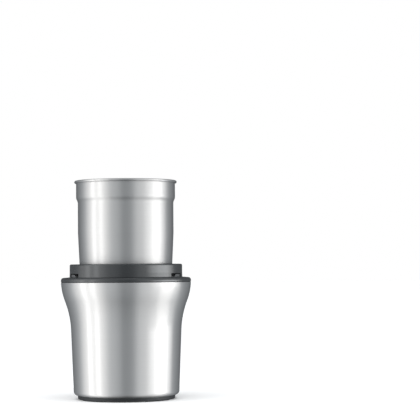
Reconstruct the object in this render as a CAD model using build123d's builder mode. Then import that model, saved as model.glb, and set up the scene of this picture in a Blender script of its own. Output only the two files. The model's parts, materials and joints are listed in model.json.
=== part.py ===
from build123d import *
import os
from math import atan2, cos, degrees, hypot, radians, sin

os.makedirs("parts", exist_ok=True)

# Electric spice grinder: a motor base with a lift-out stainless bowl.  Millimetres, +Z up,
# origin on the bench under the middle of the base, front of the machine towards -Y.
# Angles are in degrees about +Z, counted from +X.  The bowl stands in its seat, unlocked.

# ---------------------------------------------------------------- clearances
fit_gap = 0.05  # between pieces that nest and stay put
run_gap = 0.05  # radial, shaft in bush
slide_gap = 0.1  # switch button in its case, brush in its box
slip_gap = 0.3  # between pieces that slide or turn past each other
seat_gap = 0.5  # bowl foot and lugs in their seat
spare = 1.0  # how far cuts and webs run past the surface they meet

# ---------------------------------------------------------------- steel skin
steel_wall = 0.6
skin_bottom = 3.4
skin_corner = 3.4
skin_lip = 1.4  # turned-in lip, inside the corner
foot_inset = 3.0  # skin's foot, inside the collar's radius
waist_inset = 0.95  # skin's waist, likewise
flare_height = 40.3  # from the waist up to the rim
flare_turn_drop = 15.3  # under the rim, where the flare turns from hollow to round

# ---------------------------------------------------------------- top of the base
collar_rise = 10.9  # over the trim
collar_wall = 6.25
trim_width = 7.4
trim_height = 3.9
trim_rise = 0.6  # slope of the trim up to the collar
trim_round = 2.2
trim_low_round = 0.8
collar_round = 1.3
collar_draft = 0.3  # its foot's spread under the lid's seat
collar_flange = 2.5
collar_flange_gap = 1.0  # flange inside the skin's rim
mouth_step = 0.8  # mouth inside the seat's drum
mouth_depth = 9.0
mouth_round = 1.2

# lid windows in the collar, two at the front and two at the back
window_angle = 65.0  # either side of the front
window_span = 22.0
window_height = 2.8
window_depth = 4.6
window_rise = 0.2  # window's floor above the trim
lid_seat_rise = 0.5  # lid's seat above the windows

# ---------------------------------------------------------------- bowl seat
seat_depth = 30.7  # collar's top to the seat's floor
seat_floor = 3.5
drum_wall = 2.1  # outside the lugs' channels
seat_flange_reach = 1.0  # past the collar
drive_hole_radius = 11.5
drive_ledge = 2.0
drive_ledge_height = 1.5
drip_wall = 1.5
drip_height = 2.0
drip_seal_height = 1.6
channel_play = 3.0  # degrees, lug in its channel

# ---------------------------------------------------------------- bowl foot
foot_radius = 35.6
foot_height = 22.6
foot_skirt = 2.6
foot_plate = 3.0
foot_round = 3.0
hub_radius = 9.5
foot_rib = 1.8
foot_rib_drop = 6.0
foot_rib_count = 6
notch_count = 6
notch_span = 27.4
notch_height = 2.3
lug_count = 3
lug_angle = -61.1  # middle of the front lug
lug_span = 29.0
lug_reach = 3.1
lug_bottom = 4.3
lug_height = 5.3
lug_ramp = 1.7  # fall of its top towards the lead
lug_lead = 2.8  # slanted end that enters the channel
lock_turn = 20.0  # clockwise from above
gasket_height = 0.5
gasket_radius = 32.1
gasket_width = 3.5

# ---------------------------------------------------------------- steel cup
cup_wall = 0.7
cup_corner = 8.5
cup_side_gap = 2.05  # its foot's wall to the collar
cup_swell = 1.2  # its wall's spread up to its belly
cup_belly = 34.0  # over the cup's bottom, where it reaches its middle radius
step_bottom = 59.0
step_height = 5.5
step_width = 1.45
cup_band = 11.5  # straight wall over the step
rim_bead = 1.15  # radius of the rolled rim
lip_width = 1.5  # rolled rim past the wall
stud_circle = 22.0
stud_count = 3
stud_radius = 1.5
stud_length = 7.0
stud_nut_flat = 5.5
stud_nut_height = 2.4

# ---------------------------------------------------------------- blade and its shaft
shaft_radius = 3.0
shaft_neck_radius = 2.5
bush_radius = 6.0
bush_flange_radius = 8.5
bush_flange = 1.2
bush_tail = 0.25  # bush below its clip
bush_clip = 1.0
bush_clip_radius = 8.0
bush_clip_mouth = 3.0
bush_groove = 0.5
seal_radius = 4.8
seal_height = 1.0
washer_radius = 6.0
washer_height = 0.6
blade_length = 66.0
blade_width = 12.0
blade_tip_width = 7.0
blade_thick = 1.6
blade_flat = 24.0  # length of its level middle
blade_rise = 6.0
blade_hub_radius = 7.5
blade_corner = 1.75
cap_nut_flat = 10.0
cap_nut_height = 5.0
cap_nut_dome = 3.0  # radius of its rounded top edge
cap_nut_corner = 0.6  # its corners, out past its flats
cap_nut_thread = 3.0  # shaft inside it
shaft_tail = 2.0  # shaft below the driven coupling's disc
shaft_clip_radius = 4.6
shaft_clip_height = 1.0
shaft_clip_mouth = 2.0

# ---------------------------------------------------------------- drive coupling
coupling_radius = 10.5
coupling_disc = 2.2
coupling_hub_radius = 5.2
coupling_lift = 1.0  # driving disc over the seat's floor
dog_count = 4
dog_span = 36.0
dog_height = 4.0
dog_inner = 5.6
driving_hub_drop = 3.8
driven_boss = 0.4

# ---------------------------------------------------------------- housing
housing_gap = 0.5
housing_wall = 2.0
housing_flange = 2.5
housing_flange_inset = 0.6  # inside the collar's radius
housing_foot = 2.4
rib_width = 2.4

# ---------------------------------------------------------------- bottom cover and cord store
cover_wall = 2.4
cover_plate = 2.0
cord_store = 13.1
foot_ring_inset = 3.5  # foot ring inside the skin
foot_ring_round = 0.7
vent_count = 5  # on each side
vent_circle = 28.5
vent_length = 8.0
vent_width = 2.4
vent_pitch = 12.0  # degrees
pad_stand = 0.4
pad_sink = 1.1
pad_span = 40.0
pad_span_play = 0.2  # degrees
pad_count = 4
pad_margin = 0.5  # to the cord store
pad_inset = 1.2  # inside the foot ring's edge
spool_radius = 19.0
spool_wall = 2.0
spool_reach = 4.5  # flange out past the drum
spool_flange = 1.6
spool_lift = 1.0
spool_recess = 3.4
spool_screw_circle = 11.0
cord_radius = 3.2
arch_radius = 4.2
arch_height = 7.5
guard_wall = 0.85
guard_lip = 1.2
guard_lip_gap = 0.2
grommet_inset = 8.35  # inside the cover's wall
grommet_wall = 1.6
grommet_flange = 1.5

# ---------------------------------------------------------------- motor
motor_shaft_radius = 2.5
motor_shaft_chamfer = 0.4
stack_height = 22.0
stack_width = 56.0
stack_depth = 48.0
stack_round = 10.0
yoke = 6.0
pole_width = 20.0
pole_shoe = 2.9
shoe_half_span = 58.0
rotor_radius = 15.0
air_gap = 0.6
slot_count = 12
slot_radius = 2.0
slot_circle = 10.8
slot_mouth = 1.4
winding_height = 5.4
winding_radius = 13.4
winding_bore = 3.4
winding_round = 2.0
coil_end = 6.0
coil_build = 4.2  # width of the coil's side
coil_thick = 2.9
coil_gap = 0.3
coil_round = 4.0
coil_bore_round = 0.5
commutator_radius = 9.0
commutator_height = 8.0
commutator_groove = 0.5
commutator_groove_depth = 1.0
commutator_gap = 0.5
fan_radius = 20.0
fan_height = 3.6
fan_disc = 1.0
fan_rim = 0.8  # disc outside the blades
fan_gap = 0.6
fan_blade_count = 9
fan_blade = 1.0
fan_hub_radius = 6.0

# motor frame
damper_height = 3.0
damper_radius = 4.2
bracket_plate = 2.5
bracket_arm = 9.0
bracket_post_radius = 3.6
upper_post = 14.0
lower_post = 16.8
motor_lift = 3.2  # lower bracket over the cover
bearing_boss_radius = 9.5
bearing_radius = 7.0
bearing_height = 5.6
bearing_lip = 0.4
bearing_lip_hole = 5.0
motor_bolt_inset = 5.0  # inside the stack's edges
motor_bolt_bite = 2.6  # into the seat's floor
motor_shaft_end = 0.8  # below the lower bracket

# brushes
brush_width = 5.0
brush_length = 9.0
brush_drop = 4.0  # brush axis under the commutator's top
brush_wall = 2.0
brush_box_start = 1.5  # out from the commutator
brush_box_length = 14.0
brush_cap = 1.0
brush_seat_margin = 1.0  # bracket past the brush boxes
brush_spring_wire = 0.4
brush_spring_radius = 1.8
brush_spring_turns = 5

# ---------------------------------------------------------------- fasteners
screw_radius = 1.25
screw_head_radius = 2.2
screw_head = 1.7
bolt_radius = 1.5
bolt_head_radius = 2.5
bolt_head = 2.2
recess_width = 0.7
recess_edge = 1.0  # head left round the recess
recess_depth = 0.9
boss_wall = 1.35
pilot_spare = 1.0  # pilot hole past the screw's end
seat_screw_inset = 3.4  # inside the collar's radius
seat_screw_start = 50.0
seat_screw_count = 3
seat_screw_length = 10.0
collar_screw_inset = 1.8  # inside the collar's radius
collar_screw_start = 5.0
collar_screw_count = 4
collar_screw_length = 12.0
trim_screw_reach = 3.4  # outside the collar's radius
trim_screw_start = 45.0
trim_screw_count = 4
trim_screw_length = 5.9
cover_screw_inset = 6.5  # inside the housing's wall
cover_screw_lean = 32.0  # either side of the front and of the back
cover_screw_length = 12.0
spool_screw_start = 30.0
spool_screw_count = 3
spool_screw_length = 8.0
switch_screw_radius = 0.9
switch_screw_head_radius = 1.6
switch_screw_head = 1.0
switch_screw_length = 8.0

# ---------------------------------------------------------------- lid switches
plunger_angle = 68.75  # either side of the front
plunger_width = 10.6
plunger_depth = 3.2
plunger_wall = 1.0  # collar's wall left outside the plunger
plunger_stand = 2.0  # over the window's floor
plunger_ramp = 1.2
plunger_ramp_length = 2.7
plunger_ear = 1.8
plunger_ear_height = 1.6
plunger_travel = 1.5
plunger_pin_radius = 1.2
plunger_stem_place = -2.5  # along the plunger's width
plunger_spring_place = 4.6
plunger_spring_radius = 2.0
plunger_spring_wire = 0.35
plunger_spring_turns = 7
switch_place = -4.5
switch_length = 12.8
switch_depth = 5.8
switch_height = 6.5
switch_pad = 2.0
switch_back = 5.5  # height of the pad's upright
switch_hole_pitch = 6.5
switch_hole_height = 1.8
button_radius = 1.3
button_stand = 1.8
button_sink = 2.0

# ---------------------------------------------------------------- electrical parts
terminal_length = 20.0
terminal_width = 10.0
terminal_height = 12.0
terminal_gap = 3.9  # to the bracket's posts
terminal_ways = 4
terminal_hole_radius = 1.4
capacitor_length = 24.0
capacitor_width = 10.0
capacitor_height = 18.0
capacitor_gap = 1.0  # to the bracket
block_round = 1.0
lead_radius = 0.9
lead_bend = 1.8
lead_drop = 2.0  # leads below the ends of the field coils
lead_clip = 4.0  # brush lead over the bracket

# ---------------------------------------------------------------- worked out from the sizes
front = -90.0
back = 90.0
sides = (1, -1)  # right, left

plate_bottom = pad_stand + cord_store
plate_top = plate_bottom + cover_plate

lower_plate_z = plate_top + motor_lift
stack_bottom = lower_plate_z + bracket_plate + lower_post
stack_top = stack_bottom + stack_height
upper_plate_z = stack_top + upper_post
bracket_top = upper_plate_z + bracket_plate

seat_under = bracket_top + damper_height
seat_z = seat_under + seat_floor
base_height = seat_z + seat_depth
seat_top = base_height - mouth_depth
drive_ledge_z = seat_under + drive_ledge_height
seat_bore = foot_radius + seat_gap
lug_radius = foot_radius + lug_reach
channel_radius = lug_radius + seat_gap
seat_drum_radius = channel_radius + drum_wall
mouth_radius = seat_drum_radius - mouth_step

collar_bore = seat_drum_radius + fit_gap
collar_radius = collar_bore + collar_wall
trim_inner_top = base_height - collar_rise
trim_top = trim_inner_top - trim_rise
trim_bore = collar_radius + collar_draft + fit_gap
skin_top = trim_top - trim_height
rim_radius = collar_radius + trim_width
waist_radius = collar_radius - waist_inset
waist_height = skin_top - flare_height
skin_foot_radius = collar_radius - foot_inset
collar_flange_z = skin_top - collar_flange
collar_flange_radius = rim_radius - steel_wall - collar_flange_gap
window_floor = trim_inner_top + window_rise
lid_seat_z = window_floor + window_height + lid_seat_rise
seat_flange_radius = collar_radius + seat_flange_reach

skin_lip_radius = skin_foot_radius - skin_corner - skin_lip
housing_bottom = skin_bottom + steel_wall
housing_radius = skin_foot_radius - steel_wall - housing_gap
housing_bore = housing_radius - housing_wall
housing_foot_bore = skin_lip_radius
cover_radius = skin_lip_radius - fit_gap
cover_bore = cover_radius - cover_wall
grommet_circle = cover_bore - grommet_inset
foot_ring_radius = skin_foot_radius - foot_ring_inset
boss_radius = screw_radius + boss_wall
pilot_radius = screw_radius + fit_gap
seat_screw_circle = collar_radius - seat_screw_inset
collar_screw_circle = collar_radius - collar_screw_inset
trim_screw_circle = collar_radius + trim_screw_reach
cover_screw_circle = housing_bore - cover_screw_inset
cover_screw_angles = [end + s * cover_screw_lean for end in (front, back) for s in sides]
spool_z = pad_stand + spool_lift
spool_disc_z = spool_z + spool_recess

lug_mid_z = seat_z + lug_bottom
lug_top_z = lug_mid_z + lug_height
foot_top = seat_z + foot_height
foot_plate_z = foot_top - foot_plate
skirt_bore = foot_radius - foot_skirt
cup_bottom = foot_top + gasket_height
cup_floor = cup_bottom + cup_wall
cup_low_radius = collar_bore - cup_side_gap
cup_mid_radius = cup_low_radius + cup_swell
cup_top_radius = cup_mid_radius + step_width
lip_radius = cup_top_radius + lip_width
cup_top = cup_bottom + step_bottom + step_height + cup_band + 2 * rim_bead

driving_disc_z = seat_z + coupling_lift
driving_top = driving_disc_z + coupling_disc + dog_height
driven_disc_z = driving_top + slip_gap
driven_top = driven_disc_z + coupling_disc + driven_boss
bush_bottom = driven_top + slip_gap
clip_z = bush_bottom + bush_tail
hub_bottom = clip_z + bush_clip + run_gap
bush_bore = bush_radius + run_gap
blade_z = cup_floor + bush_flange + washer_height
blade_top = blade_z + blade_thick

motor_bolt_x = stack_width / 2 - motor_bolt_inset
motor_bolt_y = stack_depth / 2 - motor_bolt_inset
stator_bore = rotor_radius + air_gap
pole_back = stator_bore + pole_shoe
yoke_inner = stack_width / 2 - yoke
fan_z = stack_top + coil_end + fan_gap
upper_bearing_z = bracket_top - bearing_height
commutator_top = stack_bottom - winding_height - commutator_gap
commutator_z = commutator_top - commutator_height
lower_bearing_z = commutator_z - slip_gap - bearing_height
motor_shaft_z = lower_bearing_z - motor_shaft_end
motor_shaft_top = driving_disc_z + coupling_disc / 2
arm_length = 2 * hypot(motor_bolt_x, motor_bolt_y)
arm_angle = degrees(atan2(motor_bolt_y, motor_bolt_x))
brush_z = commutator_top - brush_drop
brush_start = commutator_radius + slide_gap
brush_box_x = commutator_radius + brush_box_start
brush_box_end = brush_box_x + brush_box_length
brush_bore = brush_width + 2 * slide_gap
brush_box_width = brush_bore + 2 * brush_wall
brush_box_top = brush_z + brush_bore / 2 + brush_cap

coil_x = yoke_inner - coil_gap - coil_thick / 2
coil_side_y = pole_width / 2 + coil_gap + coil_build / 2
lead_z = stack_bottom - coil_end - lead_drop
brush_lead_z = lower_plate_z + bracket_plate + lead_clip
terminal_place = motor_bolt_y + bracket_post_radius + terminal_gap + terminal_width / 2
capacitor_place = brush_box_end + brush_seat_margin + capacitor_gap + capacitor_width / 2
terminal_pitch = terminal_length / terminal_ways
terminal_floor = plate_top + terminal_height / 2

plunger_circle = collar_radius - plunger_wall - plunger_depth / 2
plunger_top = window_floor + plunger_stand
ear_top = collar_flange_z - slip_gap
plunger_bottom = ear_top - plunger_ear_height
switch_z = seat_z + switch_pad
switch_top = switch_z + switch_height
button_top = switch_top + button_stand


# ---------------------------------------------------------------- shared shapes
def finish(piece, name):
    """Name a finished piece and write its file."""
    piece.part.label = name
    export_step(piece.part, f"parts/{name}.step")


def spot(radius, angle, height=0.0):
    """Point at a radius and an angle about the machine's axis."""
    return (radius * cos(radians(angle)), radius * sin(radians(angle)), height)


def tangent_plane(radius, angle, height=0.0):
    """Upright plane facing outwards: x to the right seen from inside, y up."""
    return Plane(spot(radius, angle, height), x_dir=spot(1, angle + 90), z_dir=spot(1, angle))


def level_plane(radius, angle, height):
    """Level plane: x outwards, y along the tangent."""
    return Plane(spot(radius, angle, height), x_dir=spot(1, angle), z_dir=(0, 0, 1))


def turned(*points, mode=Mode.ADD):
    """Solid turned about the machine's axis from an outline of (radius, height) points."""
    with BuildSketch(Plane.XZ) as outline:
        with BuildLine():
            Polyline(*points, close=True)
        make_face()
    revolve(outline.sketch, axis=Axis.Z, mode=mode)


def ring(inner, outer, bottom, top, mode=Mode.ADD):
    """Ring about the machine's axis between two heights."""
    turned((inner, bottom), (outer, bottom), (outer, top), (inner, top), mode=mode)


def posts(radius, places, bottom, top, mode=Mode.ADD):
    """Round posts, or holes, at each of the places between two heights."""
    with BuildSketch(Plane.XY.offset(bottom)) as section:
        with places:
            Circle(radius)
    extrude(section.sketch, amount=top - bottom, mode=mode)


def sector(inner, outer, middle, span, mode=Mode.ADD):
    """Face between two radii, span degrees wide about its middle angle."""
    with BuildLine() as edge:
        near = CenterArc((0, 0), inner, middle - span / 2, span)
        far = CenterArc((0, 0), outer, middle - span / 2, span)
        Line(near @ 0, far @ 0)
        Line(near @ 1, far @ 1)
    make_face(edge.edges(), mode=mode)


def doorway(radius, bottom, top):
    """Face with upright sides and a round top."""
    with BuildLine() as edge:
        arch = CenterArc((0, top - radius), radius, 0, 180)
        Polyline(arch @ 1, (-radius, bottom), (radius, bottom), arch @ 0)
    make_face(edge.edges())


def cut_cord_arch(start):
    """Cut the cord's way out through the wall behind the given distance."""
    with BuildSketch(Plane.XZ.offset(-start)) as arch:
        doorway(arch_radius, -spare, arch_height)
    extrude(arch.sketch, amount=start - rim_radius, mode=Mode.SUBTRACT)


def screw(radius, length, head_radius, head):
    """Pan-head screw with a cross recess, its shank down from the origin."""
    recess_length = 2 * (head_radius - min(recess_edge, head_radius / 2))
    with BuildPart() as blank:
        posts(radius, Locations((0, 0)), -length, 0)
        posts(head_radius, Locations((0, 0)), 0, head)
        fillet(blank.edges().group_by(Axis.Z)[-1], head / 2)
        with BuildSketch(Plane.XY.offset(head)):
            Rectangle(recess_length, recess_width)
            Rectangle(recess_width, recess_length)
        extrude(amount=-recess_depth, mode=Mode.SUBTRACT)
    return blank.part


def spring(foot, axis, radius, wire, length, turns):
    """Coil spring of round wire standing on its foot along the axis."""
    start = Vector(foot) + Vector(axis) * wire / 2
    with BuildPart() as coil:
        with BuildLine():
            wind = Helix((length - wire) / turns, length - wire, radius, start, axis)
        with BuildSketch(Plane(wind @ 0, z_dir=wind % 0)):
            Circle(wire / 2)
        sweep(path=wind)
    return coil.part


seat_screw_places = PolarLocations(seat_screw_circle, seat_screw_count, seat_screw_start)
collar_screw_places = PolarLocations(collar_screw_circle, collar_screw_count, collar_screw_start)
trim_screw_places = PolarLocations(trim_screw_circle, trim_screw_count, trim_screw_start)
cover_screw_places = Locations(*[spot(cover_screw_circle, a)[:2] for a in cover_screw_angles])
spool_screw_places = PolarLocations(spool_screw_circle, spool_screw_count, spool_screw_start)
motor_bolt_places = GridLocations(2 * motor_bolt_x, 2 * motor_bolt_y, 2, 2)
stud_places = PolarLocations(stud_circle, stud_count, lug_angle)
plunger_angles = [front + side * plunger_angle for side in sides]
lug_angles = [lug_angle + i * 360 / lug_count for i in range(lug_count)]
window_angles = [end + s * window_angle for end in (front, back) for s in sides]

# ---------------------------------------------------------------- steel body
with BuildPart() as steel_body:
    with BuildSketch(Plane.XZ):
        with BuildLine():
            corner_start = (skin_foot_radius - skin_corner, skin_bottom)
            lip = Line((skin_lip_radius, skin_bottom), corner_start)
            corner = RadiusArc(lip @ 1, (skin_foot_radius, skin_bottom + skin_corner), -skin_corner)
            wall = Line(corner @ 1, (waist_radius, waist_height))
            rim = Vector(rim_radius, skin_top)
            turn = rim + ((wall @ 1) - rim) * (flare_turn_drop / flare_height)
            hollow = TangentArc(wall @ 1, turn, tangent=wall % 1)
            TangentArc(turn, rim, tangent=hollow % 1)
            offset(amount=steel_wall, side=Side.LEFT)
        make_face()
    revolve(axis=Axis.Z)
    cut_cord_arch(cover_bore)
finish(steel_body, "steel_body")

# ---------------------------------------------------------------- trim ring under the collar
with BuildPart() as trim_ring:
    with BuildSketch(Plane.XZ) as section:
        with BuildLine():
            Polyline(
                (trim_bore, skin_top),
                (rim_radius, skin_top),
                (rim_radius, trim_top),
                (trim_bore, trim_inner_top),
                close=True,
            )
        make_face()
        fillet(section.vertices().group_by(Axis.X)[-1].sort_by(Axis.Y)[-1], trim_round)
        fillet(section.vertices().group_by(Axis.X)[-1].sort_by(Axis.Y)[0], trim_low_round)
    revolve(axis=Axis.Z)
    pilot_end = skin_top + trim_screw_length - collar_flange + fit_gap
    posts(pilot_radius, trim_screw_places, skin_top, pilot_end, Mode.SUBTRACT)
finish(trim_ring, "trim_ring")

# ---------------------------------------------------------------- collar
with BuildPart() as collar:
    with BuildSketch(Plane.XZ) as section:
        with BuildLine():
            Polyline(
                (collar_bore, collar_flange_z),
                (collar_flange_radius, collar_flange_z),
                (collar_flange_radius, skin_top),
                (collar_radius + collar_draft, skin_top),
                (collar_radius, lid_seat_z),
                (collar_radius, base_height),
                (mouth_radius, base_height),
                (mouth_radius, seat_top),
                (collar_bore, seat_top),
                close=True,
            )
        make_face()
        fillet(section.vertices().group_by(Axis.Y)[-1].sort_by(Axis.X)[-1], collar_round)
        fillet(section.vertices().group_by(Axis.Y)[-1].sort_by(Axis.X)[0], mouth_round)
    revolve(axis=Axis.Z)
    posts(boss_radius, collar_screw_places, seat_z, collar_flange_z)
    pilot_end = seat_under + collar_screw_length + pilot_spare
    posts(pilot_radius, collar_screw_places, seat_z, pilot_end, Mode.SUBTRACT)
    posts(pilot_radius, trim_screw_places, collar_flange_z, skin_top, Mode.SUBTRACT)
    with BuildSketch(Plane.XY.offset(window_floor)):
        for angle in window_angles:
            sector(collar_radius - window_depth, collar_radius + spare, angle, window_span)
    extrude(amount=window_height, mode=Mode.SUBTRACT)
    for angle in plunger_angles:
        with BuildSketch(level_plane(plunger_circle, angle, collar_flange_z)):
            Rectangle(plunger_depth + 2 * slip_gap, plunger_width + 2 * slip_gap)
        extrude(amount=window_floor - collar_flange_z, mode=Mode.SUBTRACT)
finish(collar, "collar")

# ---------------------------------------------------------------- bowl seat
with BuildPart() as bowl_seat:
    turned(
        (drive_hole_radius - drive_ledge, seat_under),
        (seat_flange_radius, seat_under),
        (seat_flange_radius, seat_z),
        (seat_drum_radius, seat_z),
        (seat_drum_radius, seat_top),
        (seat_bore, seat_top),
        (seat_bore, seat_z),
        (drive_hole_radius + drip_wall, seat_z),
        (drive_hole_radius + drip_wall, seat_z + drip_height),
        (drive_hole_radius, seat_z + drip_height),
        (drive_hole_radius, drive_ledge_z),
        (drive_hole_radius - drive_ledge, drive_ledge_z),
    )
    # ways down for the lugs, and pockets beside them that they turn into
    with BuildSketch(Plane.XY.offset(lug_mid_z - seat_gap)):
        for angle in lug_angles:
            sector(seat_bore - spare, channel_radius, angle, lug_span + channel_play)
    extrude(amount=seat_top - lug_mid_z + seat_gap, mode=Mode.SUBTRACT)
    with BuildSketch(Plane.XY.offset(lug_mid_z - seat_gap)):
        for angle in lug_angles:
            pocket_span = lug_span + channel_play + lock_turn
            sector(seat_bore - spare, channel_radius, angle - lock_turn / 2, pocket_span)
    extrude(amount=lug_height + 2 * seat_gap, mode=Mode.SUBTRACT)
    for side, angle in zip(sides, plunger_angles):
        place = side * switch_place
        pad_depth = plunger_circle + switch_depth / 2 - seat_drum_radius
        back_depth = plunger_circle - switch_depth / 2 - fit_gap - seat_drum_radius
        with BuildSketch(level_plane(seat_drum_radius - spare, angle, seat_z)):
            with Locations((0, place)):
                Rectangle(pad_depth + spare, switch_length, align=(Align.MIN, Align.CENTER))
        extrude(amount=switch_pad)
        with BuildSketch(level_plane(seat_drum_radius - spare, angle, seat_z)):
            with Locations((0, place)):
                Rectangle(back_depth + spare, switch_length, align=(Align.MIN, Align.CENTER))
        extrude(amount=switch_pad + switch_back)
        hole_plane = tangent_plane(plunger_circle, angle, switch_z + switch_hole_height)
        with BuildSketch(hole_plane):
            with Locations((place, 0)):
                with GridLocations(switch_hole_pitch, 1, 2, 1):
                    Circle(switch_screw_radius + fit_gap)
        extrude(amount=switch_depth / 2 - switch_screw_length - fit_gap, mode=Mode.SUBTRACT)
    posts(pilot_radius, seat_screw_places, seat_under, seat_z, Mode.SUBTRACT)
    posts(pilot_radius, collar_screw_places, seat_under, seat_z, Mode.SUBTRACT)
    bolt_end = seat_under + motor_bolt_bite + fit_gap
    posts(bolt_radius + fit_gap, motor_bolt_places, seat_under, bolt_end, Mode.SUBTRACT)
finish(bowl_seat, "bowl_seat")

# ---------------------------------------------------------------- rubber seal round the drive
with BuildPart() as drip_seal:
    seal_bore = coupling_hub_radius + slip_gap
    ring(seal_bore, drive_hole_radius - fit_gap, drive_ledge_z, drive_ledge_z + drip_seal_height)
finish(drip_seal, "drip_seal")

# ---------------------------------------------------------------- inner housing
with BuildPart() as inner_housing:
    flange_radius = collar_radius - housing_flange_inset
    turned(
        (housing_foot_bore, housing_bottom),
        (housing_radius, housing_bottom),
        (housing_radius, seat_under - housing_flange),
        (flange_radius, seat_under - housing_flange),
        (flange_radius, seat_under),
        (housing_bore, seat_under),
        (housing_bore, housing_bottom + housing_foot),
        (housing_foot_bore, housing_bottom + housing_foot),
    )
    bottom_edges = inner_housing.edges().group_by(Axis.Z)[0]
    fillet(bottom_edges.sort_by(SortBy.RADIUS)[-1], skin_corner - steel_wall)
    boss_bottom = seat_z - seat_screw_length - pilot_spare - boss_wall
    posts(boss_radius, seat_screw_places, boss_bottom, seat_under)
    pilot_end = seat_z - seat_screw_length - pilot_spare
    posts(pilot_radius, seat_screw_places, pilot_end, seat_under, Mode.SUBTRACT)
    head_room = screw_head_radius + slip_gap
    flange_z = seat_under - housing_flange
    posts(head_room, collar_screw_places, flange_z, seat_under, Mode.SUBTRACT)
    # bosses for the cover's screws, each webbed to the wall
    boss_height = cover_screw_length - cover_plate + pilot_spare + boss_wall
    posts(boss_radius, cover_screw_places, plate_top, plate_top + boss_height)
    web_length = housing_bore + housing_wall / 2 - cover_screw_circle - boss_radius + boss_wall
    for angle in cover_screw_angles:
        web_start = cover_screw_circle + boss_radius - boss_wall
        with BuildSketch(level_plane(web_start, angle, plate_top)):
            Rectangle(web_length, rib_width, align=(Align.MIN, Align.CENTER))
        extrude(amount=boss_height)
    pilot_end = plate_top + boss_height - boss_wall
    posts(pilot_radius, cover_screw_places, plate_top, pilot_end, Mode.SUBTRACT)
    cut_cord_arch(cover_bore)
finish(inner_housing, "inner_housing")

# ---------------------------------------------------------------- bottom cover
with BuildPart() as bottom_cover:
    turned(
        (0, plate_bottom),
        (cover_bore, plate_bottom),
        (cover_bore, pad_stand),
        (foot_ring_radius, pad_stand),
        (foot_ring_radius, skin_bottom),
        (cover_radius, skin_bottom),
        (cover_radius, plate_top),
        (0, plate_top),
    )
    bottom_edges = bottom_cover.edges().group_by(Axis.Z)[0]
    fillet(bottom_edges.sort_by(SortBy.RADIUS)[-1], foot_ring_round)
    posts(boss_radius, spool_screw_places, spool_disc_z + spool_flange, plate_bottom)
    pilot_end = spool_disc_z + spool_screw_length + pilot_spare
    posts(pilot_radius, spool_screw_places, spool_disc_z + spool_flange, pilot_end, Mode.SUBTRACT)
    posts(pilot_radius, cover_screw_places, plate_bottom, plate_top, Mode.SUBTRACT)
    with BuildSketch(Plane.XY.offset(plate_bottom)):
        for middle in (0, 180):
            start = middle - vent_pitch * (vent_count - 1) / 2
            sweep_angle = vent_pitch * vent_count
            with PolarLocations(vent_circle, vent_count, start, sweep_angle, endpoint=False):
                SlotOverall(vent_length, vent_width)
        with Locations(spot(grommet_circle, back)[:2]):
            Circle(cord_radius + grommet_wall)
    extrude(amount=cover_plate, mode=Mode.SUBTRACT)
    with BuildSketch(Plane.XY.offset(pad_stand)):
        for i in range(pad_count):
            pad_middle = (i + 0.5) * 360 / pad_count
            sector(cover_bore + pad_margin, foot_ring_radius - pad_inset, pad_middle, pad_span)
    extrude(amount=pad_sink, mode=Mode.SUBTRACT)
    cut_cord_arch(cover_bore - spare)
finish(bottom_cover, "bottom_cover")

# ---------------------------------------------------------------- rubber feet
with BuildPart() as rubber_feet:
    with BuildSketch():
        for i in range(pad_count):
            pad_middle = (i + 0.5) * 360 / pad_count
            pad_inner = cover_bore + pad_margin + fit_gap
            pad_outer = foot_ring_radius - pad_inset - fit_gap
            sector(pad_inner, pad_outer, pad_middle, pad_span - pad_span_play)
    extrude(amount=pad_stand + pad_sink)
finish(rubber_feet, "rubber_feet")

# ---------------------------------------------------------------- cord store under the cover
with BuildPart() as cord_spool:
    turned(
        (0, spool_disc_z),
        (spool_radius - spool_wall, spool_disc_z),
        (spool_radius - spool_wall, spool_z),
        (spool_radius + spool_reach, spool_z),
        (spool_radius + spool_reach, spool_z + spool_flange),
        (spool_radius, spool_z + spool_flange),
        (spool_radius, plate_bottom),
        (spool_radius - spool_wall, plate_bottom),
        (spool_radius - spool_wall, spool_disc_z + spool_flange),
        (0, spool_disc_z + spool_flange),
    )
    disc_top = spool_disc_z + spool_flange
    posts(pilot_radius, spool_screw_places, spool_disc_z, disc_top, Mode.SUBTRACT)
finish(cord_spool, "cord_spool")

# ---------------------------------------------------------------- liner of the cord's way out
with BuildPart() as cord_guard:
    guard_start = cover_bore + fit_gap
    lip_start = skin_foot_radius + guard_lip_gap
    guard_radius = arch_radius - fit_gap
    with BuildSketch(Plane.XZ.offset(-guard_start)):
        doorway(guard_radius, pad_stand, arch_height - fit_gap)
    extrude(amount=guard_start - lip_start - guard_lip)
    with BuildSketch(Plane.XZ.offset(-lip_start)):
        doorway(guard_radius + guard_lip, pad_stand, arch_height + guard_lip)
    extrude(amount=-guard_lip)
    with BuildSketch(Plane.XZ.offset(-guard_start)):
        doorway(guard_radius - guard_wall, 0, arch_height - fit_gap - guard_wall)
    extrude(amount=guard_start - lip_start - guard_lip, mode=Mode.SUBTRACT)
finish(cord_guard, "cord_guard")

with BuildPart(Plane(spot(grommet_circle, back, plate_bottom))) as cord_grommet:
    middle = (Align.CENTER, Align.CENTER, Align.MIN)
    bottom = -grommet_flange
    flange_radius = cord_radius + grommet_wall + grommet_flange
    total = cover_plate + 2 * grommet_flange
    Cylinder(cord_radius + grommet_wall - fit_gap, cover_plate, align=middle)
    with Locations((0, 0, bottom), (0, 0, cover_plate)):
        Cylinder(flange_radius, grommet_flange, align=middle)
    with Locations((0, 0, bottom)):
        Cylinder(cord_radius, total, align=middle, mode=Mode.SUBTRACT)
finish(cord_grommet, "cord_grommet")

# ---------------------------------------------------------------- screws of the casing
with BuildPart(Plane.XY.offset(seat_z)) as seat_screws:
    with seat_screw_places:
        add(screw(screw_radius, seat_screw_length, screw_head_radius, screw_head))
finish(seat_screws, "seat_screws")

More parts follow.
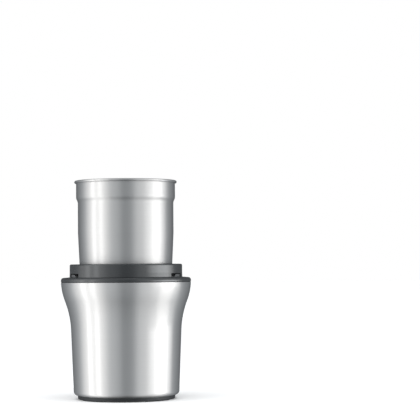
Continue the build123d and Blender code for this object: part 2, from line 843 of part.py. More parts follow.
with BuildPart(Plane.XY.offset(seat_under)) as collar_screws:
    blank = screw(screw_radius, collar_screw_length, screw_head_radius, screw_head)
    with collar_screw_places:
        add(blank, rotation=(180, 0, 0))
finish(collar_screws, "collar_screws")

with BuildPart(Plane.XY.offset(collar_flange_z)) as trim_screws:
    blank = screw(screw_radius, trim_screw_length, screw_head_radius, screw_head)
    with trim_screw_places:
        add(blank, rotation=(180, 0, 0))
finish(trim_screws, "trim_screws")

with BuildPart(Plane.XY.offset(plate_bottom)) as bottom_screws:
    blank = screw(screw_radius, cover_screw_length, screw_head_radius, screw_head)
    with cover_screw_places:
        add(blank, rotation=(180, 0, 0))
finish(bottom_screws, "bottom_screws")

with BuildPart(Plane.XY.offset(spool_disc_z)) as spool_screws:
    blank = screw(screw_radius, spool_screw_length, screw_head_radius, screw_head)
    with spool_screw_places:
        add(blank, rotation=(180, 0, 0))
finish(spool_screws, "spool_screws")

# ---------------------------------------------------------------- stator
with BuildPart() as stator_core:
    with BuildSketch(Plane.XY.offset(stack_bottom)):
        window_depth_y = stack_depth - 2 * yoke
        RectangleRounded(stack_width, stack_depth, stack_round)
        RectangleRounded(2 * yoke_inner, window_depth_y, stack_round - yoke, mode=Mode.SUBTRACT)
        neck_length = yoke_inner - pole_back + 2 * spare
        with Locations((pole_back - spare, 0), (spare - pole_back - neck_length, 0)):
            Rectangle(neck_length, pole_width, align=(Align.MIN, Align.CENTER))
        for middle in (0, 180):
            sector(stator_bore, pole_back, middle, 2 * shoe_half_span)
        with motor_bolt_places:
            Circle(bolt_radius + fit_gap, mode=Mode.SUBTRACT)
    extrude(amount=stack_height)
finish(stator_core, "stator_core")

with BuildPart() as field_coils:
    inner_width = pole_width + 2 * coil_gap
    inner_height = stack_height + 2 * coil_gap
    outer_height = stack_height + 2 * coil_end
    with BuildSketch(Plane.YZ.offset(coil_x - coil_thick / 2)):
        with Locations((0, stack_bottom + stack_height / 2)):
            RectangleRounded(inner_width + 2 * coil_build, outer_height, coil_round)
            RectangleRounded(inner_width, inner_height, coil_bore_round, mode=Mode.SUBTRACT)
    extrude(amount=coil_thick)
    mirror(about=Plane.YZ)
finish(field_coils, "field_coils")

# ---------------------------------------------------------------- motor frame
def spider(plate_z):
    """Crossed arms between the motor bolts, as a plate from the given height up."""
    with BuildSketch(Plane.XY.offset(plate_z)) as plan:
        for angle in (arm_angle, -arm_angle):
            with Locations(Rot(0, 0, angle)):
                SlotCenterToCenter(arm_length, bracket_arm)
        Circle(bearing_boss_radius + bracket_plate)
    extrude(plan.sketch, amount=bracket_plate)


with BuildPart() as upper_bracket:
    spider(upper_plate_z)
    posts(bracket_post_radius, motor_bolt_places, stack_top, upper_plate_z)
    ring(0, bearing_boss_radius, upper_bearing_z - bearing_lip, bracket_top)
    ring(0, bearing_radius + fit_gap, upper_bearing_z, bracket_top, Mode.SUBTRACT)
    ring(0, bearing_lip_hole, upper_bearing_z - bearing_lip, bracket_top, Mode.SUBTRACT)
    posts(bolt_radius + fit_gap, motor_bolt_places, stack_top, bracket_top, Mode.SUBTRACT)
finish(upper_bracket, "upper_bracket")

with BuildPart() as lower_bracket:
    spider(lower_plate_z)
    with BuildSketch(Plane.XY.offset(lower_plate_z)):
        seat_length = 2 * (brush_box_end + brush_seat_margin)
        SlotOverall(seat_length, brush_box_width + brush_seat_margin)
    extrude(amount=bracket_plate)
    posts(bracket_post_radius, motor_bolt_places, lower_plate_z, stack_bottom)
    boss_top = lower_bearing_z + bearing_height
    boss_bottom = min(lower_bearing_z - bearing_lip, lower_plate_z)
    ring(0, bearing_boss_radius, boss_bottom, boss_top)
    ring(0, bearing_radius + fit_gap, lower_bearing_z, boss_top, Mode.SUBTRACT)
    ring(0, bearing_lip_hole, boss_bottom, boss_top, Mode.SUBTRACT)
    posts(bolt_radius + fit_gap, motor_bolt_places, lower_plate_z, stack_bottom, Mode.SUBTRACT)
finish(lower_bracket, "lower_bracket")

for name, bottom in (("upper_bearing", upper_bearing_z), ("lower_bearing", lower_bearing_z)):
    with BuildPart() as bearing:
        ring(motor_shaft_radius + run_gap, bearing_radius, bottom, bottom + bearing_height)
    finish(bearing, name)

with BuildPart() as motor_dampers:
    posts(damper_radius, motor_bolt_places, bracket_top, seat_under)
    posts(bolt_radius + fit_gap, motor_bolt_places, bracket_top, seat_under, Mode.SUBTRACT)
finish(motor_dampers, "motor_dampers")

with BuildPart(Plane.XY.offset(lower_plate_z)) as motor_bolts:
    bolt_length = seat_under + motor_bolt_bite - lower_plate_z
    blank = screw(bolt_radius, bolt_length, bolt_head_radius, bolt_head)
    with motor_bolt_places:
        add(blank, rotation=(180, 0, 0))
finish(motor_bolts, "motor_bolts")

# ---------------------------------------------------------------- brush gear
with BuildPart() as brush_holders:
    box_bottom = lower_plate_z + bracket_plate
    with BuildSketch(Plane.YZ.offset(brush_box_x)):
        with Locations((0, box_bottom)):
            box_height = brush_box_top - box_bottom
            Rectangle(brush_box_width, box_height, align=(Align.CENTER, Align.MIN))
    extrude(amount=brush_box_length)
    with BuildSketch(Plane.YZ.offset(brush_box_x)):
        with Locations((0, brush_z)):
            Rectangle(brush_bore, brush_bore)
    extrude(amount=brush_box_length - brush_cap, mode=Mode.SUBTRACT)
    mirror(about=Plane.YZ)
finish(brush_holders, "brush_holders")

with BuildPart() as carbon_brushes:
    with BuildSketch(Plane.YZ.offset(brush_start)):
        with Locations((0, brush_z)):
            Rectangle(brush_width, brush_width)
    extrude(amount=brush_length)
    mirror(about=Plane.YZ)
finish(carbon_brushes, "carbon_brushes")

with BuildPart() as brush_springs:
    spring_start = brush_start + brush_length
    add(
        spring(
            (spring_start, 0, brush_z),
            (1, 0, 0),
            brush_spring_radius,
            brush_spring_wire,
            brush_box_end - brush_cap - spring_start,
            brush_spring_turns,
        )
    )
    mirror(about=Plane.YZ)
finish(brush_springs, "brush_springs")

# ---------------------------------------------------------------- rotor
rotor_bore = motor_shaft_radius + fit_gap

with BuildPart() as motor_shaft:
    ring(0, motor_shaft_radius, motor_shaft_z, motor_shaft_top)
    chamfer(motor_shaft.edges().filter_by(GeomType.CIRCLE), motor_shaft_chamfer)
finish(motor_shaft, "motor_shaft")

with BuildPart() as armature_core:
    with BuildSketch(Plane.XY.offset(stack_bottom)):
        Circle(rotor_radius)
        Circle(rotor_bore, mode=Mode.SUBTRACT)
        with PolarLocations(slot_circle, slot_count):
            Circle(slot_radius, mode=Mode.SUBTRACT)
            mouth_length = rotor_radius + spare - slot_circle
            Rectangle(
                mouth_length, slot_mouth, align=(Align.MIN, Align.CENTER), mode=Mode.SUBTRACT
            )
    extrude(amount=stack_height)
finish(armature_core, "armature_core")

with BuildPart() as armature_windings:
    lower_end = stack_bottom - winding_height
    upper_end = stack_top + winding_height
    ring(winding_bore, winding_radius, stack_top, upper_end)
    ring(winding_bore, winding_radius, lower_end, stack_bottom)
    outer_edges = armature_windings.edges().filter_by(GeomType.CIRCLE).sort_by(Axis.Z)
    fillet(outer_edges[-2:].sort_by(SortBy.RADIUS)[-1], winding_round)
    fillet(outer_edges[:2].sort_by(SortBy.RADIUS)[-1], winding_round)
    slot_fill = PolarLocations(slot_circle, slot_count)
    posts(slot_radius - fit_gap, slot_fill, stack_bottom, stack_top)
finish(armature_windings, "armature_windings")

with BuildPart() as commutator:
    with BuildSketch(Plane.XY.offset(commutator_z)):
        Circle(commutator_radius)
        Circle(rotor_bore, mode=Mode.SUBTRACT)
        with PolarLocations(commutator_radius, slot_count):
            Rectangle(2 * commutator_groove_depth, commutator_groove, mode=Mode.SUBTRACT)
    extrude(amount=commutator_height)
finish(commutator, "commutator")

with BuildPart() as cooling_fan:
    ring(rotor_bore, fan_radius, fan_z, fan_z + fan_disc)
    ring(rotor_bore, fan_hub_radius, fan_z, fan_z + fan_height)
    with BuildSketch(Plane.XY.offset(fan_z + fan_disc)):
        fan_blade_length = fan_radius - fan_rim - fan_hub_radius + spare
        with PolarLocations(fan_hub_radius - spare, fan_blade_count):
            Rectangle(fan_blade_length, fan_blade, align=(Align.MIN, Align.CENTER))
    extrude(amount=fan_height - fan_disc)
finish(cooling_fan, "cooling_fan")


def dogs(bottom, first):
    """Ring of driving dogs standing up from the given height."""
    with BuildSketch(Plane.XY.offset(bottom)) as plan:
        for i in range(dog_count):
            sector(dog_inner, coupling_radius, first + i * 360 / dog_count, dog_span)
    extrude(plan.sketch, amount=dog_height)


with BuildPart() as drive_coupling:
    disc_top = driving_disc_z + coupling_disc
    ring(0, coupling_hub_radius, driving_disc_z - driving_hub_drop, driving_disc_z)
    ring(0, coupling_radius, driving_disc_z, disc_top)
    ring(0, rotor_bore, driving_disc_z - driving_hub_drop, motor_shaft_top, Mode.SUBTRACT)
    dogs(disc_top, 0)
finish(drive_coupling, "drive_coupling")

# ---------------------------------------------------------------- driven side of the coupling
with BuildPart() as driven_coupling:
    dogs(driven_disc_z - dog_height, 180 / dog_count)
    ring(0, coupling_radius, driven_disc_z, driven_disc_z + coupling_disc)
    ring(0, coupling_hub_radius, driven_disc_z, driven_top)
    ring(0, shaft_radius + fit_gap, driven_disc_z - dog_height, driven_top, Mode.SUBTRACT)
finish(driven_coupling, "driven_coupling")

with BuildPart() as blade_shaft:
    neck_top = blade_top + cap_nut_thread
    shaft_bottom = driven_disc_z - shaft_tail
    ring(0, shaft_radius, shaft_bottom, blade_z)
    ring(0, shaft_neck_radius, blade_z, neck_top)
    ring(
        shaft_neck_radius,
        shaft_radius,
        driven_disc_z - fit_gap - shaft_clip_height,
        driven_disc_z - fit_gap,
        Mode.SUBTRACT,
    )
finish(blade_shaft, "blade_shaft")

with BuildPart() as shaft_clip:
    clip_top = driven_disc_z - fit_gap
    ring(shaft_neck_radius + fit_gap, shaft_clip_radius, clip_top - shaft_clip_height, clip_top)
    with BuildSketch(Plane.XY.offset(clip_top - shaft_clip_height)):
        Rectangle(shaft_clip_radius + spare, shaft_clip_mouth, align=(Align.MIN, Align.CENTER))
    extrude(amount=shaft_clip_height, mode=Mode.SUBTRACT)
finish(shaft_clip, "shaft_clip")

# ---------------------------------------------------------------- bush that carries the blade
with BuildPart() as bowl_bush:
    turned(
        (shaft_radius + run_gap, bush_bottom),
        (bush_radius, bush_bottom),
        (bush_radius, clip_z),
        (bush_radius - bush_groove, clip_z),
        (bush_radius - bush_groove, clip_z + bush_clip),
        (bush_radius, clip_z + bush_clip),
        (bush_radius, cup_floor),
        (bush_flange_radius, cup_floor),
        (bush_flange_radius, cup_floor + bush_flange),
        (seal_radius, cup_floor + bush_flange),
        (seal_radius, cup_floor + bush_flange - seal_height),
        (shaft_radius + run_gap, cup_floor + bush_flange - seal_height),
    )
finish(bowl_bush, "bowl_bush")

with BuildPart() as bush_clip_ring:
    ring(bush_radius - bush_groove + fit_gap, bush_clip_radius, clip_z, clip_z + bush_clip)
    with BuildSketch(Plane.XY.offset(clip_z)):
        Rectangle(bush_clip_radius + spare, bush_clip_mouth, align=(Align.MIN, Align.CENTER))
    extrude(amount=bush_clip, mode=Mode.SUBTRACT)
finish(bush_clip_ring, "bush_clip")

with BuildPart() as shaft_seal:
    seal_bottom = cup_floor + bush_flange - seal_height
    ring(shaft_radius + run_gap, seal_radius - fit_gap, seal_bottom, seal_bottom + seal_height)
finish(shaft_seal, "shaft_seal")

# ---------------------------------------------------------------- blade
with BuildPart() as thrust_washer:
    ring(shaft_radius + fit_gap, washer_radius, blade_z - washer_height, blade_z)
finish(thrust_washer, "thrust_washer")

with BuildPart() as blade:
    with BuildSketch(Plane.XZ):
        with BuildLine():
            Polyline(
                (-blade_length / 2, blade_z + blade_rise),
                (-blade_flat / 2, blade_z),
                (blade_flat / 2, blade_z),
                (blade_length / 2, blade_z + blade_rise),
            )
            offset(amount=blade_thick, side=Side.LEFT)
        make_face()
    extrude(amount=blade_width, both=True)
    with BuildSketch(Plane.XY.offset(blade_z)) as plan:
        with BuildLine():
            Polyline(
                (-blade_length / 2, -blade_tip_width / 2),
                (-blade_flat / 2, -blade_width / 2),
                (blade_flat / 2, -blade_width / 2),
                (blade_length / 2, -blade_tip_width / 2),
                (blade_length / 2, blade_tip_width / 2),
                (blade_flat / 2, blade_width / 2),
                (-blade_flat / 2, blade_width / 2),
                (-blade_length / 2, blade_tip_width / 2),
                close=True,
            )
        make_face()
        fillet(plan.vertices(), blade_corner)
        Circle(blade_hub_radius)
    extrude(amount=blade_rise + 2 * blade_thick, mode=Mode.INTERSECT)
    ring(0, shaft_neck_radius + fit_gap, blade_z, blade_top, Mode.SUBTRACT)
finish(blade, "blade")

with BuildPart() as blade_nut:
    with BuildSketch(Plane.XY.offset(blade_top)):
        RegularPolygon(cap_nut_flat / 2, 6, major_radius=False)
    extrude(amount=cap_nut_height)
    with BuildSketch(Plane.XZ):
        with BuildLine():
            across = cap_nut_flat / 2 + cap_nut_corner
            nut_top = blade_top + cap_nut_height
            Line((0, blade_top), (0, nut_top))
            Line((0, nut_top), (across - cap_nut_dome, nut_top))
            RadiusArc((across - cap_nut_dome, nut_top), (across, nut_top - cap_nut_dome), cap_nut_dome)
            Line((across, nut_top - cap_nut_dome), (across, blade_top))
            Line((across, blade_top), (0, blade_top))
        make_face()
    revolve(axis=Axis.Z, mode=Mode.INTERSECT)
    ring(0, shaft_neck_radius + fit_gap, blade_top, neck_top + fit_gap, Mode.SUBTRACT)
finish(blade_nut, "blade_nut")

# ---------------------------------------------------------------- bowl
with BuildPart() as bowl_cup:
    with BuildSketch(Plane.XZ):
        with BuildLine():
            corner_start = (cup_low_radius - cup_corner, cup_bottom)
            floor = Line((bush_bore, cup_bottom), corner_start)
            corner = RadiusArc(floor @ 1, (cup_low_radius, cup_bottom + cup_corner), -cup_corner)
            belly = Line(corner @ 1, (cup_mid_radius, cup_bottom + cup_belly))
            wall = Line(belly @ 1, (cup_mid_radius, cup_bottom + step_bottom))
            step_top = Vector(cup_top_radius, cup_bottom + step_bottom + step_height)
            hollow = TangentArc(wall @ 1, ((wall @ 1) + step_top) / 2, tangent=wall % 1)
            TangentArc(hollow @ 1, step_top, tangent=hollow % 1)
            Line(step_top, (cup_top_radius, cup_top - rim_bead))
            offset(amount=cup_wall, side=Side.LEFT)
        make_face()
        with Locations((lip_radius - rim_bead, cup_top - rim_bead)):
            Circle(rim_bead)
    revolve(axis=Axis.Z)
    posts(stud_radius, stud_places, cup_bottom - stud_length, cup_bottom + cup_wall / 2)
finish(bowl_cup, "bowl_cup")

with BuildPart() as bowl_gasket:
    ring(gasket_radius - gasket_width, gasket_radius, foot_top, cup_bottom)
finish(bowl_gasket, "bowl_gasket")

with BuildPart() as lug:
    half_width = lug_radius * sin(radians(lug_span / 2))
    with BuildSketch(Plane.XY.offset(lug_mid_z)):
        sector(foot_radius - spare, lug_radius, lug_angle, lug_span)
    extrude(amount=lug_height)
    lead_end = spot(lug_radius, lug_angle - lug_span / 2, lug_mid_z + lug_height / 2)
    chamfer(lug.edges().filter_by(Axis.Z).sort_by_distance(lead_end)[0], lug_lead)
    with BuildSketch(tangent_plane(foot_radius - 2 * spare, lug_angle)):
        with BuildLine():
            Polyline(
                (-half_width, lug_top_z - lug_ramp),
                (half_width, lug_top_z),
                (half_width, lug_top_z + spare),
                (-half_width, lug_top_z + spare),
                close=True,
            )
        make_face()
    extrude(amount=lug_radius, mode=Mode.SUBTRACT)

with BuildPart() as bowl_base:
    turned(
        (bush_bore, hub_bottom),
        (hub_radius, hub_bottom),
        (hub_radius, foot_plate_z),
        (skirt_bore, foot_plate_z),
        (skirt_bore, seat_z),
        (foot_radius, seat_z),
        (foot_radius, foot_top),
        (bush_bore, foot_top),
    )
    top_edges = bowl_base.edges().group_by(Axis.Z)[-1]
    fillet(top_edges.sort_by(SortBy.RADIUS)[-1], foot_round)
    with BuildSketch(Plane.XY.offset(foot_plate_z - foot_rib_drop)):
        rib_start = lug_angle + 180 / foot_rib_count
        with PolarLocations((hub_radius + skirt_bore) / 2, foot_rib_count, rib_start):
            Rectangle(skirt_bore - hub_radius + spare, foot_rib)
    extrude(amount=foot_rib_drop)
    with BuildSketch(Plane.XY.offset(seat_z)):
        for i in range(notch_count):
            notch_angle = lug_angle + i * 360 / notch_count
            sector(skirt_bore - spare, foot_radius + spare, notch_angle, notch_span)
    extrude(amount=notch_height, mode=Mode.SUBTRACT)
    posts(stud_radius + fit_gap, stud_places, foot_plate_z, foot_top, Mode.SUBTRACT)
    with PolarLocations(0, lug_count):
        add(lug.part)
finish(bowl_base, "bowl_base")

with BuildPart() as bowl_nuts:
    with BuildSketch(Plane.XY.offset(foot_plate_z)):
        with stud_places:
            RegularPolygon(stud_nut_flat / 2, 6, major_radius=False)
            Circle(stud_radius + fit_gap, mode=Mode.SUBTRACT)
    extrude(amount=-stud_nut_height)
finish(bowl_nuts, "bowl_nuts")

# ---------------------------------------------------------------- lid switches, made on the right
right_angle = plunger_angles[0]
right_upright = tangent_plane(plunger_circle, right_angle)

with BuildPart() as right_plunger:
    half_ear = plunger_width / 2 + plunger_ear
    half = plunger_width / 2
    with BuildSketch(right_upright):
        with BuildLine():
            Polyline(
                (-half_ear, plunger_bottom),
                (half_ear, plunger_bottom),
                (half_ear, ear_top),
                (half, ear_top),
                (half, plunger_top),
                (plunger_ramp_length - half, plunger_top),
                (-half, plunger_top - plunger_ramp),
                (-half, ear_top),
                (-half_ear, ear_top),
                close=True,
            )
        make_face()
    extrude(amount=plunger_depth / 2, both=True)
    with BuildSketch(level_plane(plunger_circle, right_angle, plunger_bottom)):
        with Locations((0, plunger_stem_place)):
            Circle(plunger_pin_radius)
    extrude(amount=button_top - plunger_bottom)
    pin_end = seat_z + plunger_travel + slip_gap
    with BuildSketch(level_plane(plunger_circle, right_angle, plunger_bottom)):
        with Locations((0, plunger_spring_place)):
            Circle(plunger_pin_radius)
    extrude(amount=pin_end - plunger_bottom)

with BuildPart() as right_plunger_spring:
    spring_plane = level_plane(plunger_circle, right_angle, seat_z)
    add(
        spring(
            spring_plane.from_local_coords((0, plunger_spring_place, 0)),
            (0, 0, 1),
            plunger_spring_radius,
            plunger_spring_wire,
            plunger_bottom - seat_z,
            plunger_spring_turns,
        )
    )

with BuildPart() as right_switch:
    with BuildSketch(level_plane(plunger_circle, right_angle, switch_z)):
        with Locations((0, switch_place)):
            Rectangle(switch_depth, switch_length)
    extrude(amount=switch_height)
    with BuildSketch(level_plane(plunger_circle, right_angle, switch_top)):
        with Locations((0, plunger_stem_place)):
            Circle(button_radius + slide_gap)
    extrude(amount=-button_sink - plunger_travel - slip_gap, mode=Mode.SUBTRACT)
    with BuildSketch(tangent_plane(plunger_circle, right_angle, switch_z + switch_hole_height)):
        with Locations((switch_place, 0)):
            with GridLocations(switch_hole_pitch, 1, 2, 1):
                Circle(switch_screw_radius + fit_gap)
    extrude(amount=switch_depth, both=True, mode=Mode.SUBTRACT)

with BuildPart() as right_switch_button:
    with BuildSketch(level_plane(plunger_circle, right_angle, switch_top - button_sink)):
        with Locations((0, plunger_stem_place)):
            Circle(button_radius)
    extrude(amount=button_sink + button_stand)

with BuildPart() as right_switch_screws:
    blank = screw(
        switch_screw_radius, switch_screw_length, switch_screw_head_radius, switch_screw_head
    )
    face_circle = plunger_circle + switch_depth / 2
    for step in (-0.5, 0.5):
        face = tangent_plane(face_circle, right_angle, switch_z + switch_hole_height)
        with Locations(face.location * Pos(switch_place + step * switch_hole_pitch, 0, 0)):
            add(blank)

right_pieces = {
    "plunger": right_plunger,
    "plunger_spring": right_plunger_spring,
    "switch": right_switch,
    "switch_button": right_switch_button,
    "switch_screws": right_switch_screws,
}
for name, right_piece in right_pieces.items():
    finish(right_piece, f"right_{name}")
    with BuildPart() as left_piece:
        mirror(right_piece.part, about=Plane.YZ)
    finish(left_piece, f"left_{name}")

# ---------------------------------------------------------------- electrical parts
with BuildPart(Plane((0, -terminal_place, plate_top))) as terminal_block:
    centred = (Align.CENTER, Align.CENTER, Align.MIN)
    Box(terminal_length, terminal_width, terminal_height, align=centred)
    fillet(terminal_block.edges().filter_by(Axis.Z), block_round)
    with GridLocations(terminal_pitch, 1, terminal_ways, 1):
        with Locations((0, 0, terminal_height / 2)):
            Cylinder(terminal_hole_radius, terminal_height, align=centred, mode=Mode.SUBTRACT)
finish(terminal_block, "terminal_block")

with BuildPart(Plane((capacitor_place, 0, plate_top))) as capacitor:
    Box(capacitor_width, capacitor_length, capacitor_height, align=centred)
    fillet(capacitor.edges().filter_by(Axis.Z), block_round)
finish(capacitor, "capacitor")


def lead(*points):
    """Insulated lead through the points, with round bends."""
    with BuildPart() as wire:
        with BuildLine():
            route = FilletPolyline(*points, radius=lead_bend)
        with BuildSketch(Plane(route @ 0, z_dir=route % 0)):
            Circle(lead_radius)
        sweep(path=route)
    return wire.part


with BuildPart() as motor_leads:
    coil_way = terminal_pitch / 2
    brush_way = coil_way + terminal_pitch
    brush_lead_x = brush_box_x + brush_box_length / 2
    bolt_side_x = motor_bolt_x - bracket_post_radius - 6 * lead_radius
    add(
        lead(
            (coil_way, -terminal_place, terminal_floor),
            (coil_way, -terminal_place, lead_z),
            (bolt_side_x - terminal_pitch, -motor_bolt_y, lead_z),
            (coil_x, -coil_side_y, lead_z),
            (coil_x, -coil_side_y, lead_z + lead_drop),
        )
    )
    add(
        lead(
            (brush_way, -terminal_place, terminal_floor),
            (brush_way, -terminal_place, lead_z),
            (bolt_side_x, -motor_bolt_y - terminal_pitch, lead_z),
            (brush_lead_x, -coil_side_y, brush_lead_z),
            (brush_lead_x, -brush_box_width / 2, brush_lead_z),
        )
    )
    mirror(about=Plane.YZ)
finish(motor_leads, "motor_leads")
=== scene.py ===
"""Electric spice grinder: the finish of every piece, the studio and the camera."""
import json
import math

import bpy
from mathutils import Matrix, Vector

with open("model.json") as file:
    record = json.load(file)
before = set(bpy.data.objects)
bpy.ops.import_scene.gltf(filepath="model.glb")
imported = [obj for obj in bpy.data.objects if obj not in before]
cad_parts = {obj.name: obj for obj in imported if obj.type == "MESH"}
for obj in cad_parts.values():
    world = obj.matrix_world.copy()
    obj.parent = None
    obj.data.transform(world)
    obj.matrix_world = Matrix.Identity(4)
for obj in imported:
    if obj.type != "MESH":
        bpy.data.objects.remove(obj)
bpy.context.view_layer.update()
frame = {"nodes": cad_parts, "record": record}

# ---------------------------------------------------------------- the photograph's frame
PHOTO_WIDTH = 420  # pixels
FOCAL_LENGTH = 1600  # pixels
SENSOR_WIDTH = 36.0  # millimetres
CAMERA_PLACE = (0.0475, -1.3593, 0.1087)  # metres
CAMERA_YAW = 1.017  # degrees to the right of +Y
CAMERA_PITCH = 2.125  # degrees up
CAMERA_ROLL = -0.43  # degrees

# ---------------------------------------------------------------- colours, linear
STEEL = (0.66, 0.66, 0.655)
CUP_STEEL = (0.67, 0.67, 0.665)
BLADE_STEEL = (0.66, 0.66, 0.65)
ZINC = (0.56, 0.58, 0.60)
BRONZE = (0.50, 0.33, 0.17)
BRASS = (0.72, 0.55, 0.25)
COPPER = (0.60, 0.24, 0.11)
LAMINATION = (0.22, 0.22, 0.225)
CARBON = (0.02, 0.02, 0.02)
GLOSS_BLACK = (0.008, 0.009, 0.010)
MATTE_BLACK = (0.020, 0.021, 0.023)
BOWL_BLACK = (0.006, 0.008, 0.010)
GREY_PLASTIC = (0.16, 0.165, 0.17)
NYLON = (0.72, 0.70, 0.64)
RED_PLASTIC = (0.45, 0.03, 0.02)
BLUE_LEAD = (0.03, 0.07, 0.28)
GREY_RUBBER = (0.045, 0.045, 0.047)
BLACK_RUBBER = (0.016, 0.016, 0.016)
WHITE = (1.0, 1.0, 1.0, 1.0)
PALE_FLOOR = (0.9, 0.9, 0.9, 1.0)
COOL = (0.885, 0.945, 1.0, 1.0)  # tint of the studio's unlit parts
SHEEN = (0.95, 0.98, 1.0, 1.0)  # tint of the plastics' gloss

# ---------------------------------------------------------------- surfaces
MICRON = 1e-6  # metres
TEXTURE_SPAN = (0.3, 0.7)  # the middle of a texture's values, which carries its contrast
BAND_SPACING = 0.314  # metres between the bands of a wave texture at a scale of 1
ACROSS_THE_MARKS = 0.25  # turn of the highlight from along the marks to across them
LACQUER_ROUGHNESS = 0.05
LACQUER_IOR = 1.55

# ---------------------------------------------------------------- studio
AMBIENT = 0.39  # radiance round the object, where no softbox is
BOXES = (  # direction from the front towards +X in degrees, inner and outer half width, radiance
    (-85, 0, 90, 0.28),
    (-74, 0, 42, 0.68),
    (-30, 0, 27, 0.17),
    (85, 0, 90, 0.29),
    (44, 0, 30, 0.32),
    (83, 14, 15.5, 0.60),
    (-82, 4, 6, 0.75),
    (-61, 4, 6, 0.65),
)
LOW_BOXES = (  # the same, for a box no taller than LOW_EDGES
    (80, 4, 39, 2.5),
)
LOW_EDGES = ((-12, -6), (7, 2))  # degrees up: where a low box ends and where it is full
FLAGS = (  # dark cards: direction, inner and outer half width, radiance taken away
    (-150, 0, 42, 0.26),
    (150, 0, 42, 0.26),
)
OVERHEAD = 0.6  # radiance straight above
OVERHEAD_EDGES = (0.45, 0.95)  # sine of the elevation where it starts and where it is full
UNDERSIDE = 0.15  # share of the radiance left straight below
UNDERSIDE_EDGES = (-0.95, -0.6)
WHITENING = 0.8  # how fast the cool tint gives way to white as the radiance grows
SMALLEST_DIVISOR = 0.001  # keeps directions straight up and down from a division by 0
FLOOR_RADIUS = 12.0  # metres
FLOOR_ROUGHNESS = 0.9
FLOOR_GLOW_PLACES = (0.25, 2.5)  # metres from the object
FLOOR_GLOW = (0.14, 0.45)  # strength that makes the floor white there
LAMP_PLACE = (0.0, -0.3, 1.6)  # metres
LAMP_TARGET = (0.0, 0.0, 0.08)
LAMP_SIZE = 1.4
LAMP_POWER = 16  # watts


class NodeTree:
    """The nodes of a material or of the world, and short ways to add and join them."""

    def __init__(self, owner):
        owner.use_nodes = True
        self.nodes, self.links = owner.node_tree.nodes, owner.node_tree.links

    def add(self, kind, **settings):
        node = self.nodes.new(kind)
        for setting, value in settings.items():
            setattr(node, setting, value)
        return node

    def feed(self, source, socket):
        self.links.new(source, socket)

    def maths(self, operation, *values, clamp=False):
        """Output of a Math node, each value a number or another output."""
        node = self.add("ShaderNodeMath", operation=operation, use_clamp=clamp)
        for socket, value in zip(node.inputs, values):
            if isinstance(value, (int, float)):
                socket.default_value = value
            else:
                self.feed(value, socket)
        return node.outputs[0]

    def from_axis(self, x, y):
        """Distance from the Z axis."""
        squares = self.maths("ADD", self.maths("MULTIPLY", x, x), self.maths("MULTIPLY", y, y))
        return self.maths("SQRT", squares)

    def spread(self, value, ends, limits, shape="LINEAR"):
        """The value between two ends, spread from one limit to the other."""
        node = self.add("ShaderNodeMapRange", interpolation_type=shape)
        self.feed(value, node.inputs["Value"])
        for socket, number in zip(("From Min", "From Max", "To Min", "To Max"), (*ends, *limits)):
            node.inputs[socket].default_value = number
        return node.outputs["Result"]


